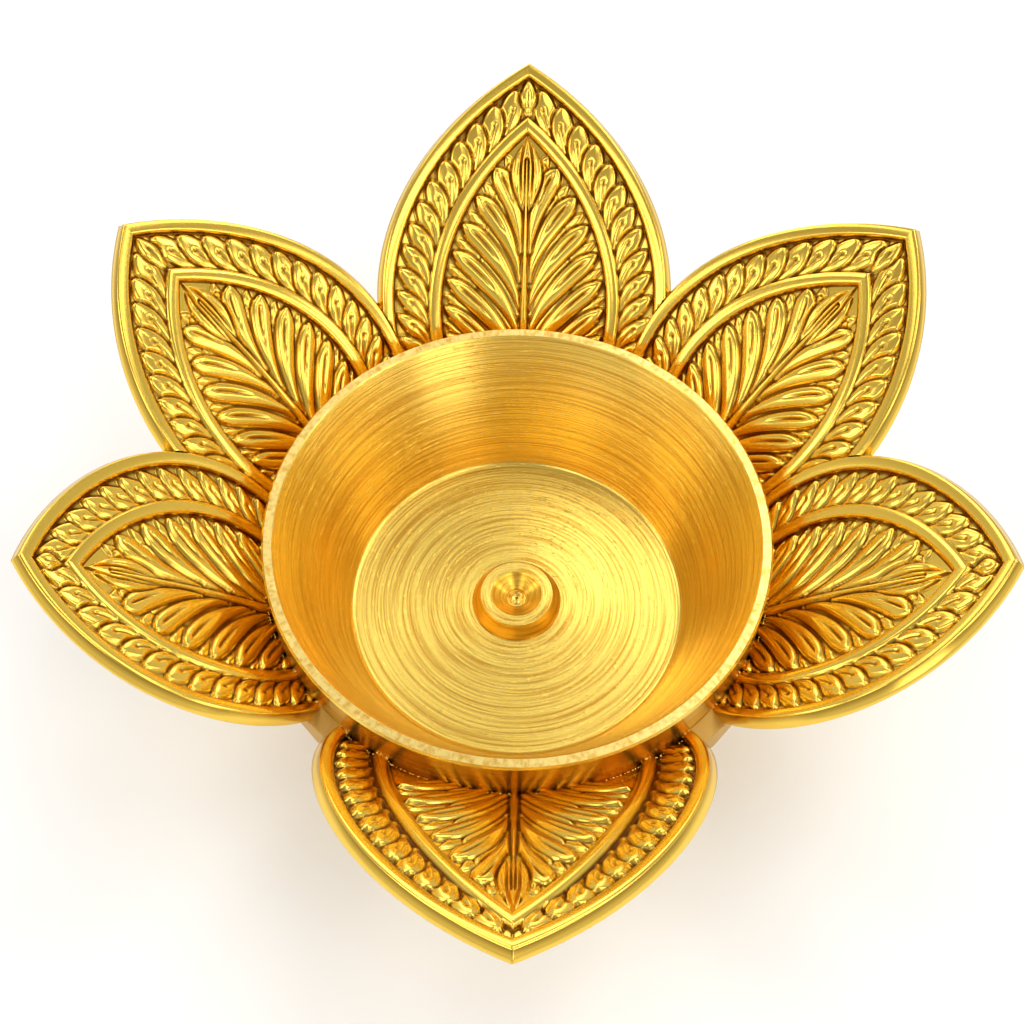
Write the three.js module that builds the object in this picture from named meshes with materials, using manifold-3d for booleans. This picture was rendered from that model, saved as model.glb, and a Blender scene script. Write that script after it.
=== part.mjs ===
// Brass lotus oil lamp: six cast petals round a turned oil cup with a wick holder in its floor.
// Millimetres, +Z up, front towards -Y. The origin lies on the ground, in the middle of the outline.

import * as THREE from "three";
import { mergeVertices } from "three/addons/utils/BufferGeometryUtils.js";
import Module from "manifold-3d";

const wasm = await Module();
wasm.setup();

// Fits and smoothness
const fitGap = 0.3;
const cupFacets = 48;
const holderFacets = 24;

// Oil cup
const cupRadius = 31;
const cupDepth = 18.5;
const cupFloorRadius = 22;
const cupFloorThickness = 2.6;
const cupSkirtHeight = 13.6;
const cupBaseRadius = 21.5;
const rimWidth = 1.5;
const rimChamfer = 0.25;

// Wick holder, a low turned boss on a threaded stud
const bossBaseRadius = 5.8;
const bossTopRadius = 4.8;
const bossHeight = 2;
const sinkMouthRadius = 3.2;
const sinkFloorRadius = 1.2;
const sinkDepth = 1.3;
const studRadius = 2;
const studTail = 0.5;

// Washer and nut under the foot
const washerRadius = 4.6;
const washerThickness = 0.6;
const nutAcrossFlats = 7;
const nutHeight = 1.8;
const nutGroundClearance = 0.6;

// Foot
const footTopRadius = 20;
const footBottomRadius = 21;
const footWaist = 0.8;
const footWebThickness = 1.8;
const footWall = 2.6;

// Petal ring, a collar brazed round the cup that carries the petals
const ringWall = 2.1;
const ringDrop = 6;
const ringHeight = 5.4;
const pocketDepth = 3.1;

// Petals. All lie on one flared surface, which starts at the cup wall and flattens outwards.
const petalDrop = 6.1;
const rootPitch = THREE.MathUtils.degToRad(52);
const flareRadius = 100;
const petalThickness = 1.7;
const castingDraft = 0.4;
const petalRimWidth = 1.45;
const reliefDepth = 0.8;
const bandWidth = 1.6;
const bluntTip = 0.2;

// Outline of each kind of petal: length and half width from the cup wall, distance of the widest
// place from the wall, width of the channel inside the rim, and distance from the petal's tip to
// the tip of its inner band
const backPetal = { length: 38.7, halfWidth: 18.6, widestAt: 5.2, channel: 4.6, bandMargin: 7 };
const rearSidePetal = { length: 36.6, halfWidth: 17.3, widestAt: 6.4, channel: 4.2, bandMargin: 7.4 };
const frontSidePetal = { length: 33, halfWidth: 17.5, widestAt: 6.6, channel: 4.2, bandMargin: 5.2 };
const frontPetal = { length: 32.6, halfWidth: 21.5, widestAt: -4.5, channel: 4.9, bandMargin: 2.2 };
const backAngle = 88.8;
const rearSideAngle = 33.75;
const frontSideAngle = -14.5;
const frontAngle = -90.4;

// How far the tips of the front side petals lean back, in degrees about the cup's axis
const frontSideLean = 1.3;

// Carving: a chain of leaves in the channel, and a spray of leaves on a central vein
const chainPitch = 3.2;
const chainLeafLength = 5.2;
const chainLeafWidth = 2.6;
const leafHeight = 0.68;
const leafSink = 0.2;
const veinWidth = 1;
const sprayPitch = 3.5;
const sprayLeafWidth = 2.5;
const crestLeafLength = 8;
const crestLeafWidth = 3;

// Heights that follow from the sizes above
const footRecess = fitGap + washerThickness + fitGap + nutHeight + nutGroundClearance;
const footHeight = footWebThickness + footRecess;
const cupHeight = cupDepth + cupFloorThickness;
const rimHeight = footHeight + fitGap + cupHeight;
const cupFloorHeight = rimHeight - cupDepth;
const rootRadius = cupRadius + fitGap;
const ringRadius = rootRadius + ringWall;
const pocketFloor = -ringDrop - pocketDepth;

const lerp = THREE.MathUtils.lerp;

// A geometry with shared corners, no flat triangles, and faces that point out
function closedGeometry(geometry) {
  const bare = geometry.clone();
  bare.deleteAttribute("normal");
  bare.deleteAttribute("uv");
  const merged = mergeVertices(bare, 1e-4);
  const place = merged.getAttribute("position");
  const corners = [];
  let volume = 0;
  const [a, b, c] = [new THREE.Vector3(), new THREE.Vector3(), new THREE.Vector3()];
  for (let i = 0; i < merged.index.count; i += 3) {
    const triangle = [0, 1, 2].map((k) => merged.index.getX(i + k));
    if (new Set(triangle).size < 3) continue;
    corners.push(triangle);
    [a, b, c].forEach((corner, k) => corner.fromBufferAttribute(place, triangle[k]));
    volume += a.dot(b.cross(c));
  }
  merged.setIndex(corners.flatMap(([p, q, r]) => (volume > 0 ? [p, q, r] : [p, r, q])));
  return merged;
}

// A solid that can be joined and cut
function toSolid(geometry) {
  const closed = closedGeometry(geometry);
  return new wasm.Manifold(new wasm.Mesh({
    numProp: 3,
    vertProperties: new Float32Array(closed.getAttribute("position").array),
    triVerts: new Uint32Array(closed.index.array),
  }));
}

function fromSolid(solid) {
  const mesh = solid.getMesh();
  const geometry = new THREE.BufferGeometry();
  geometry.setAttribute("position", new THREE.BufferAttribute(mesh.vertProperties, 3));
  geometry.setIndex(new THREE.BufferAttribute(mesh.triVerts, 1));
  return geometry;
}

// A turned piece from its half section, given as [radius, height] pairs
function turned(section, facets) {
  const points = section.map(([radius, height]) => new THREE.Vector2(radius, height));
  return closedGeometry(new THREE.LatheGeometry(points, facets).rotateX(Math.PI / 2));
}

// Points on a quarter ellipse that runs from straight down at `top` to level at `bottom`
function quarterEllipse(bottom, top, steps) {
  const points = [];
  for (let i = 0; i <= steps; i++) {
    const angle = (i / steps) * Math.PI / 2;
    points.push([
      bottom[0] + (top[0] - bottom[0]) * Math.sin(angle),
      top[1] - (top[1] - bottom[1]) * Math.cos(angle),
    ]);
  }
  return points;
}

// Oil cup, with the rim at height 0
function cupGeometry() {
  const studHole = studRadius + fitGap;
  const innerRim = cupRadius - rimWidth;
  return turned([
    [studHole, -cupHeight],
    ...quarterEllipse([cupBaseRadius, -cupHeight], [cupRadius, -cupSkirtHeight], 5),
    [cupRadius, -rimChamfer],
    [cupRadius - rimChamfer, 0],
    [innerRim + rimChamfer, 0],
    [innerRim, -rimChamfer],
    [cupFloorRadius, -cupDepth],
    [studHole, -cupDepth],
    [studHole, -cupHeight],
  ], cupFacets);
}

// Wick holder, with the cup's floor at height 0: flank, flat top, countersink and stud
function wickHolderGeometry() {
  const studEnd = -(cupFloorHeight - nutGroundClearance) + studTail - fitGap;
  return turned([
    [0, studEnd],
    [studRadius - studTail / 2, studEnd],
    [studRadius, studEnd + studTail / 2],
    [studRadius, fitGap],
    [bossBaseRadius, fitGap],
    [bossBaseRadius, fitGap * 2],
    [bossTopRadius, bossHeight],
    [sinkMouthRadius, bossHeight],
    [sinkFloorRadius, bossHeight - sinkDepth],
    [0, bossHeight - sinkDepth],
  ], holderFacets);
}

// Foot, a shallow turned dish with its web on top
function footGeometry() {
  const studHole = studRadius + fitGap;
  const waistRadius = Math.min(footTopRadius, footBottomRadius) - footWaist;
  return turned([
    [studHole, footRecess],
    [footTopRadius - footWall, footRecess],
    [footBottomRadius - footWall, 0],
    [footBottomRadius, 0],
    [footBottomRadius, footHeight * 0.2],
    [waistRadius, footHeight * 0.4],
    [waistRadius, footHeight * 0.7],
    [footTopRadius, footHeight * 0.88],
    [footTopRadius, footHeight],
    [studHole, footHeight],
    [studHole, footRecess],
  ], cupFacets);
}

function washerGeometry() {
  const hole = studRadius + fitGap;
  return turned([
    [hole, 0],
    [washerRadius, 0],
    [washerRadius, washerThickness],
    [hole, washerThickness],
    [hole, 0],
  ], holderFacets);
}

function nutGeometry() {
  const outline = new THREE.Shape();
  const cornerRadius = nutAcrossFlats / Math.sqrt(3);
  for (let i = 0; i < 6; i++) {
    const angle = (i * Math.PI) / 3;
    const corner = [cornerRadius * Math.cos(angle), cornerRadius * Math.sin(angle)];
    if (i === 0) outline.moveTo(...corner);
    else outline.lineTo(...corner);
  }
  outline.closePath();
  outline.holes.push(new THREE.Path().absarc(0, 0, studRadius + fitGap, 0, Math.PI * 2, true));
  return closedGeometry(new THREE.ExtrudeGeometry(outline, {
    depth: nutHeight,
    bevelEnabled: false,
    curveSegments: 9,
  }));
}

// The flared surface. A point of the flat pattern lies `along` the petal from the cup wall,
// `across` from its centre line and `up` from the face; it returns its place on the bent petal.
function onFlare(along, across, up) {
  const startSine = Math.sin(rootPitch);
  const reach = cupRadius + flareRadius * (startSine - Math.sin(rootPitch - along / flareRadius));
  const radius = Math.hypot(reach, across);
  const pitch = Math.asin(startSine - (radius - cupRadius) / flareRadius);
  const height = -petalDrop + flareRadius * (Math.cos(pitch) - Math.cos(rootPitch));
  const turn = Math.atan2(across, reach);
  const bentRadius = radius - up * Math.sin(pitch);
  return new THREE.Vector3(
    bentRadius * Math.cos(turn),
    bentRadius * Math.sin(turn),
    height + up * Math.cos(pitch),
  );
}

// A pointed arch of two equal arcs that meet at its tip
class Ogive {
  constructor(tip, halfWidth, widestAt) {
    const rise = tip - widestAt;
    this.widestAt = widestAt;
    this.radius = (rise * rise + halfWidth * halfWidth) / (2 * halfWidth);
    this.inset = this.radius - halfWidth;
  }

  // The same arch, moved `distance` outwards
  offset(distance) {
    const other = Object.create(Ogive.prototype);
    return Object.assign(other, this, { radius: this.radius + distance });
  }

  get tipAngle() {
    return Math.acos(this.inset / this.radius);
  }

  get tip() {
    return this.widestAt + this.radius * Math.sin(this.tipAngle);
  }

  // Angle of the arc at a distance from the cup wall
  angleAt(along) {
    return Math.asin(Math.max((along - this.widestAt) / this.radius, -1));
  }

  // Distance along and half width at an angle of the arc
  at(angle) {
    return [
      this.widestAt + this.radius * Math.sin(angle),
      this.radius * Math.cos(angle) - this.inset,
    ];
  }

  // Half width at a distance from the cup wall
  widthAt(along) {
    return this.at(this.angleAt(along))[1];
  }
}

// Where the flat patterns start. All start inside the cup wall, which trims them.
const slabStart = -19;
const carvingStart = -10;

// A block of segments whose corners are set in the flat pattern, and then bent to the flare
function bentBlock(alongSteps, acrossSteps, toPattern) {
  const geometry = new THREE.BoxGeometry(1, 1, 1, alongSteps, acrossSteps, 1);
  const place = geometry.getAttribute("position");
  for (let i = 0; i < place.count; i++) {
    const [along, across, up] = toPattern(place.getX(i) + 0.5, place.getY(i) * 2, place.getZ(i) + 0.5);
    place.setXYZ(i, ...onFlare(along, across, up));
  }
  return geometry;
}

// A slab with the outline of an arch, between two heights. `growth` widens it evenly and `draft`
// only at its lower face; its corners stay in line with those of the plain arch.
function archSlab(arch, low, high, draft = 0, growth = 0) {
  return bentBlock(11, 6, (a, b, c) => {
    const level = arch.offset(growth + draft * (1 - c));
    const [along, width] = level.at(lerp(arch.angleAt(slabStart), arch.tipAngle, a));
    return [along, b * Math.max(width, bluntTip), lerp(low, high, c)];
  });
}

// A raised strip that follows an arch from one root, over the tip, to the other root
function archBand(arch, width, low, high) {
  return bentBlock(24, 1, (a, b, c) => {
    const edge = arch.offset(-width * (b + 1) / 2);
    const side = a * 2 - 1;
    const angle = lerp(edge.tipAngle, edge.angleAt(carvingStart), Math.abs(side));
    const [along, reach] = edge.at(angle);
    return [along, Math.sign(side) * reach, lerp(low, high, c)];
  });
}

// A leaf: a ridged lump whose middle line is a curve of the flat pattern. It is widest at the
// `bulge` share of its length, and its lower half is sunk in the relief's floor.
function leafLump(spine, width, height, bulge, rings) {
  const geometry = new THREE.SphereGeometry(1, 4, rings).rotateZ(-Math.PI / 2);
  const place = geometry.getAttribute("position");
  const skew = Math.log(0.5) / Math.log(bulge);
  for (let i = 0; i < place.count; i++) {
    const share = Math.pow((place.getX(i) + 1) / 2, 1 / skew);
    const middle = spine.getPoint(share);
    const heading = spine.getTangent(share);
    const aside = place.getY(i) * width / 2;
    const rise = place.getZ(i) * (place.getZ(i) > 0 ? height + leafSink : leafSink);
    place.setXYZ(i, ...onFlare(
      middle.x - heading.y * aside,
      middle.y + heading.x * aside,
      rise - reliefDepth - leafSink,
    ));
  }
  return geometry;
}

// The leaves of the channel between rim and inner band: heads outwards and to the tip
function chainLeaves(pool, band) {
  const leaves = [];
  const start = 0;
  const between = (share, aside) => {
    const [outerAlong, outerAcross] = pool.at(lerp(pool.angleAt(start), pool.tipAngle, share));
    const [innerAlong, innerAcross] = band.at(lerp(band.angleAt(start), band.tipAngle, share));
    return [lerp(innerAlong, outerAlong, aside), lerp(innerAcross, outerAcross, aside)];
  };
  const chainLength = (pool.tipAngle - pool.angleAt(start)) * (pool.radius + band.radius) / 2;
  const count = Math.round(chainLength / chainPitch);
  const channel = pool.widthAt(start) - band.widthAt(start);
  const sweep = Math.sqrt(Math.max(chainLeafLength ** 2 - channel ** 2, 1)) / 2 / chainLength;
  for (let i = -1; i < count; i++) {
    const share = (i + 0.3) / count;
    for (const side of [-1, 1]) {
      const [tail, middle, head] = [
        between(share - sweep * 1.5, 0.1),
        between(share + sweep * 0.2, 0.5),
        between(share + sweep, 0.93),
      ].map(([along, across]) => new THREE.Vector2(along, across * side));
      const spine = new THREE.QuadraticBezierCurve(tail, middle, head);
      leaves.push(leafLump(spine, chainLeafWidth, leafHeight, 0.6, 3));
    }
  }
  const tipLeaf = new THREE.LineCurve(
    new THREE.Vector2(band.tip + 0.3, 0),
    new THREE.Vector2(pool.tip - 0.4, 0),
  );
  if (pool.tip - band.tip > chainLeafWidth) {
    leaves.push(leafLump(tipLeaf, chainLeafWidth, leafHeight, 0.5, 3));
  }
  return leaves;
}

// The spray inside the inner band: vein, crest leaf at its end, and pairs of curved leaves
function sprayLeaves(field) {
  const crestEnd = field.tip - 0.8;
  const crestStart = crestEnd - Math.min(crestLeafLength, field.tip / 2);
  const axis = (from, to) => new THREE.LineCurve(new THREE.Vector2(from, 0), new THREE.Vector2(to, 0));
  const leaves = [
    leafLump(axis(carvingStart, crestStart + 1), veinWidth, leafHeight, 0.5, 6),
    leafLump(axis(crestStart, crestEnd), crestLeafWidth, leafHeight, 0.5, 4),
  ];
  const lastEnd = crestEnd - crestLeafLength / 2;
  const count = Math.round((lastEnd + 2) / sprayPitch);
  for (let i = 0; i < count; i++) {
    const endAlong = lastEnd - i * (lastEnd + 2) / count;
    const endAcross = field.widthAt(endAlong) * 0.9;
    for (const side of [-1, 1]) {
      const spine = new THREE.QuadraticBezierCurve(
        new THREE.Vector2(endAlong - endAcross * 0.9 - sprayPitch / 2, side * veinWidth / 4),
        new THREE.Vector2(endAlong - endAcross * 0.35, side * endAcross * 0.3),
        new THREE.Vector2(endAlong, side * endAcross),
      );
      leaves.push(leafLump(spine, sprayLeafWidth, leafHeight, 0.65, 4));
    }
  }
  return leaves;
}

function outline(kind) {
  return new Ogive(kind.length, kind.halfWidth, kind.widestAt);
}

// A petal before it is trimmed, along +X, with the rim of the cup at height 0
function petalBlank(kind) {
  const arch = outline(kind);
  const pool = arch.offset(-petalRimWidth);
  const bandHalfWidth = kind.halfWidth - petalRimWidth - kind.channel;
  const band = new Ogive(kind.length - kind.bandMargin, bandHalfWidth, kind.widestAt);
  const bandRoot = -(reliefDepth + petalThickness) / 2;
  let solid = toSolid(archSlab(arch, -petalThickness, 0, castingDraft));
  solid = solid.subtract(toSolid(archSlab(pool, -reliefDepth, petalThickness)));
  solid = solid.add(toSolid(archBand(band, bandWidth, bandRoot, 0)));
  for (const leaf of [...chainLeaves(pool, band), ...sprayLeaves(band.offset(-bandWidth))]) {
    solid = solid.add(toSolid(leaf));
  }
  return solid;
}

// A solid of a petal, turned about the cup's axis. What lies further out turns further, so that
// the tip leans sideways by the petal's lean.
function leaning(solid, petal) {
  return solid.warp((corner) => {
    const [x, y] = corner;
    const share = Math.max(Math.hypot(x, y) - cupRadius, 0) / petal.kind.length;
    const turn = THREE.MathUtils.degToRad(petal.lean) * share ** 2;
    corner[0] = x * Math.cos(turn) - y * Math.sin(turn);
    corner[1] = x * Math.sin(turn) + y * Math.cos(turn);
  });
}

// The space that a petal takes, with a gap round it, turned by an angle in degrees
function petalRoom(petal, angle) {
  const low = -petalThickness - fitGap;
  const room = archSlab(outline(petal.kind), low, petalThickness, 0, castingDraft + fitGap);
  return leaning(toSolid(room), petal).rotate([0, 0, angle]);
}

// A round plug from one height to another, turned by an angle in degrees
function plug(radius, low, high, angle = 0) {
  const block = turned([[0, low], [radius, low], [radius, high], [0, high]], cupFacets);
  return toSolid(block.rotateZ(THREE.MathUtils.degToRad(angle)));
}

const petals = [
  { name: "petal_back", kind: backPetal, angle: backAngle, lean: 0 },
  { name: "petal_back_right", kind: rearSidePetal, angle: rearSideAngle, lean: 0 },
  { name: "petal_back_left", kind: rearSidePetal, angle: 180 - rearSideAngle, lean: 0 },
  { name: "petal_front_right", kind: frontSidePetal, angle: frontSideAngle, lean: frontSideLean },
  { name: "petal_front_left", kind: frontSidePetal, angle: 180 - frontSideAngle, lean: -frontSideLean },
  { name: "petal_front", kind: frontPetal, angle: frontAngle, lean: 0 },
];

// The order in which they lap: each kind over those before it
const lapping = [backPetal, rearSidePetal, frontSidePetal, frontPetal];

// A petal is cut away for the cup wall, for the ring below its root, and along the edge of each
// neighbour that laps over it
function petalGeometry(petal) {
  let solid = leaning(petalBlank(petal.kind), petal);
  solid = solid.subtract(plug(rootRadius, -cupHeight * 2, cupHeight, -petal.angle));
  const belowFloor = plug(ringRadius + fitGap, -cupHeight, pocketFloor + fitGap, -petal.angle);
  solid = solid.subtract(belowFloor);
  for (const other of petals) {
    if (lapping.indexOf(other.kind) <= lapping.indexOf(petal.kind)) continue;
    solid = solid.subtract(petalRoom(other, other.angle - petal.angle));
  }
  return fromSolid(solid);
}

// The ring, with a pocket for the root of each petal. What stands between two pockets shows as
// the small webs beside the front petal.
function ringGeometry() {
  let solid = toSolid(turned([
    [rootRadius, -ringDrop - ringHeight],
    [ringRadius - ringWall / 3, -ringDrop - ringHeight],
    [ringRadius, -ringDrop - ringHeight * 0.8],
    [ringRadius, -ringDrop - rimChamfer],
    [ringRadius - rimChamfer, -ringDrop],
    [rootRadius, -ringDrop],
    [rootRadius, -ringDrop - ringHeight],
  ], cupFacets));
  const aboveFloor = plug(ringRadius * 1.5, pocketFloor, cupHeight);
  for (const petal of petals) {
    solid = solid.subtract(petalRoom(petal, petal.angle).intersect(aboveFloor));
  }
  return fromSolid(solid);
}

// Materials: cast petals, bright turned cup and holder, plain fittings
const castBrass = { color: 0xd9a520, roughness: 0.32, metalness: 1 };
const turnedBrass = { color: 0xe2b53a, roughness: 0.26, metalness: 1 };
const plainBrass = { color: 0xc9962a, roughness: 0.45, metalness: 1 };

function piece(name, geometry, finish) {
  const mesh = new THREE.Mesh(geometry, new THREE.MeshStandardMaterial(finish));
  mesh.name = name;
  return mesh;
}

const lamp = new THREE.Group();

const flower = new THREE.Group();
flower.position.z = rimHeight;
flower.add(piece("oil_cup", cupGeometry(), turnedBrass));
flower.add(piece("petal_ring", ringGeometry(), castBrass));
for (const petal of petals) {
  const mesh = piece(petal.name, petalGeometry(petal), castBrass);
  mesh.rotation.z = THREE.MathUtils.degToRad(petal.angle);
  flower.add(mesh);
}
lamp.add(flower);

const wickHolder = piece("wick_holder", wickHolderGeometry(), turnedBrass);
wickHolder.position.z = cupFloorHeight;
lamp.add(wickHolder);

lamp.add(piece("foot", footGeometry(), turnedBrass));

const washer = piece("washer", washerGeometry(), plainBrass);
washer.position.z = footRecess - fitGap - washerThickness;
lamp.add(washer);

const nut = piece("nut", nutGeometry(), plainBrass);
nut.position.z = nutGroundClearance;
lamp.add(nut);

// The back petal reaches further than the front one, so the cup stands a little off the origin
const extent = new THREE.Box3().setFromObject(lamp, true);
lamp.position.y = -(extent.min.y + extent.max.y) / 2;

export default new THREE.Group().add(lamp);
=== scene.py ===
"""Brass lotus oil lamp, dressed over its CAD frame.

Six cast and carved petals stand round a turned oil cup, which has a wick holder in its floor and
a low turned foot. Sizes in this file are millimetres; meshes are written in metres.
"""

import logging
import math
from dataclasses import dataclass, field, replace
from enum import Enum
from typing import NamedTuple, Optional, Sequence

import bmesh
import bpy
import numpy as np
from bpy.types import Material, Node, NodeSocket, NodeTree, Object
from mathutils import Matrix, Vector


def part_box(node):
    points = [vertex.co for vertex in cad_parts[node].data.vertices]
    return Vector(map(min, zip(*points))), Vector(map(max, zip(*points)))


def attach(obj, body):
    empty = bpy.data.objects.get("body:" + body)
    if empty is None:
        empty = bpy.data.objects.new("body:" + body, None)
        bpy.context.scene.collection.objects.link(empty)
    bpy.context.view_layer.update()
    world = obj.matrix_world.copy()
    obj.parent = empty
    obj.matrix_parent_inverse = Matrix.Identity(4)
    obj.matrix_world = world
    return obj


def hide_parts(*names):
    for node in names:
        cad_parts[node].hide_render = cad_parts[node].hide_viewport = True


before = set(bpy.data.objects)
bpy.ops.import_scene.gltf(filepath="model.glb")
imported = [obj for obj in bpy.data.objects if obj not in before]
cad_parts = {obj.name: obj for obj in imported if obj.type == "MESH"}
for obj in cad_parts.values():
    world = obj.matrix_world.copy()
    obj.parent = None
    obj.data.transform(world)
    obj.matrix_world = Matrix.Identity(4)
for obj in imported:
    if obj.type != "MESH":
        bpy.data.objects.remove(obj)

logging.basicConfig(level=logging.INFO, format="%(name)s: %(message)s")
log = logging.getLogger("lamp")

# A millimetre, and how close vertices lie that are merged, both in metres.
MM = 0.001
MERGE = 2e-7
BODY = "root"
Array = np.ndarray
Spot = tuple[float, float]


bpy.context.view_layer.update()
CUP_LOW, CUP_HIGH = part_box("oil_cup")
AXIS_Y = (CUP_LOW.y + CUP_HIGH.y) / 2 / MM
RIM_HEIGHT = CUP_HIGH.z / MM


# Numbers and curves


def linear(hex_colour: str) -> tuple[float, float, float, float]:
    """Turns an sRGB hex colour to linear.

    Args:
        hex_colour: Six hex digits, such as "D9A520".

    Returns:
        Linear red, green and blue, and an alpha of 1.
    """
    values = [int(hex_colour[i : i + 2], 16) / 255 for i in (0, 2, 4)]
    red, green, blue = [
        v / 12.92 if v <= 0.04045 else ((v + 0.055) / 1.055) ** 2.4 for v in values
    ]
    return red, green, blue, 1.0


def blend(low: float, high: float, share: Array) -> Array:
    """The value at a share of the way from low to high."""
    return low + (high - low) * share


def smooth_step(low: float, high: float, value: Array) -> Array:
    """Rises from 0 at low to 1 at high, with level ends."""
    share = np.clip((value - low) / (high - low), 0, 1)
    return share * share * (3 - 2 * share)


def steps_at(radius: float, height: float, steps: Sequence[Spot]) -> list[Spot]:
    """Points of a section, from distances in from a radius and heights above a height."""
    return [(radius - inset, height + rise) for inset, rise in steps]


def arc(centre: Spot, radii: Spot, start: float, end: float, steps: int) -> list[Spot]:
    """Points of a section on part of an ellipse.

    Args:
        centre: Radius and height of its centre.
        radii: Its half width and its half height.
        start: Angle of the first point in degrees, from the outside upwards.
        end: Angle of the last point.
        steps: Number of steps between them.

    Returns:
        Radii and heights of the points.
    """
    angles = [math.radians(start + (end - start) * i / steps) for i in range(steps + 1)]
    return [
        (centre[0] + radii[0] * math.cos(a), centre[1] + radii[1] * math.sin(a)) for a in angles
    ]


@dataclass(frozen=True)
class Flare:
    """The flared surface that all petals lie on, measured from the cup's rim.

    A point of the flat pattern lies along the petal from the cup wall, across from its centre
    line, and up from its face.
    """

    cup_radius: float = 31.0
    drop: float = 6.1
    root_pitch: float = math.radians(52)
    bend_radius: float = 100.0

    def reach(self, along: Array) -> Array:
        """Distance from the cup's axis, on the petal's centre line."""
        bent = math.sin(self.root_pitch) - np.sin(self.root_pitch - along / self.bend_radius)
        return self.cup_radius + self.bend_radius * bent

    def pitch(self, radius: Array) -> Array:
        """Slope of the surface at a distance from the cup's axis."""
        sine = math.sin(self.root_pitch) - (radius - self.cup_radius) / self.bend_radius
        return np.arcsin(np.clip(sine, -1, 1))

    def along(self, reach: Array) -> Array:
        """The inverse of reach."""
        return self.bend_radius * (self.root_pitch - self.pitch(reach))

    def place(self, along: Array, across: Array, up: Array) -> Array:
        """Places points of the flat pattern on the bent petal.

        Args:
            along: Distance along the petal from the cup wall.
            across: Distance from the petal's centre line.
            up: Height above the petal's face.

        Returns:
            Points with the petal along +X, and height 0 at the cup's rim.
        """
        reach = self.reach(along)
        radius = np.hypot(reach, across)
        pitch = self.pitch(radius)
        height = self.bend_radius * (np.cos(pitch) - math.cos(self.root_pitch)) - self.drop
        turn = np.arctan2(across, reach)
        bent_radius = radius - up * np.sin(pitch)
        x, y = bent_radius * np.cos(turn), bent_radius * np.sin(turn)
        return np.stack([x, y, height + up * np.cos(pitch)], axis=-1)


@dataclass(frozen=True)
class Ogive:
    """A pointed arch of two equal arcs that meet at its tip."""

    widest_at: float
    radius: float
    inset: float

    @classmethod
    def through(cls, tip: float, half_width: float, widest_at: float) -> "Ogive":
        """The arch of a given size.

        Args:
            tip: Distance of its tip from the cup wall.
            half_width: Half its greatest width.
            widest_at: Where it is that wide, as a distance from the cup wall.

        Returns:
            The arch.
        """
        rise = tip - widest_at
        radius = (rise * rise + half_width * half_width) / (2 * half_width)
        return cls(widest_at, radius, radius - half_width)

    def offset(self, distance: float) -> "Ogive":
        """The same arch, moved outwards by a distance."""
        return Ogive(self.widest_at, self.radius + distance, self.inset)

    @property
    def tip_angle(self) -> float:
        """Angle of the arc at the tip."""
        return math.acos(self.inset / self.radius)

    @property
    def tip(self) -> float:
        """Distance of the tip from the cup wall."""
        return self.widest_at + self.radius * math.sin(self.tip_angle)

    def at(self, angle: Array) -> tuple[Array, Array]:
        """Distance along and half width at an angle of the arc."""
        along = self.widest_at + self.radius * np.sin(angle)
        return along, self.radius * np.cos(angle) - self.inset

    def angle_at(self, along: float) -> float:
        """Angle of the arc at a distance from the cup wall."""
        return math.asin((along - self.widest_at) / self.radius)

    def width_at(self, along: Array) -> Array:
        """Half width at a distance from the cup wall."""
        sine = np.clip((np.asarray(along) - self.widest_at) / self.radius, -1, 1)
        return self.radius * np.sqrt(1 - sine * sine) - self.inset

    def depth(self, along: Array, across: Array) -> Array:
        """How far a point lies inside the arch."""
        return self.radius - np.hypot(along - self.widest_at, np.abs(across) + self.inset)

    def start_angle(self, flare: Flare, radius: float) -> float:
        """Where the arch leaves a cylinder round the cup's axis.

        Args:
            flare: The surface that the arch lies on.
            radius: Radius of the cylinder.

        Returns:
            The angle of the arc there, found by halving.
        """
        lowest, halvings = -1.2, 50
        low, high = lowest, self.tip_angle
        for _ in range(halvings):
            middle = (low + high) / 2
            along, across = self.at(np.array(middle))
            inside = math.hypot(float(flare.reach(along)), float(across)) < radius
            low, high = (middle, high) if inside else (low, middle)
        return (low + high) / 2


# Carving


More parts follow.
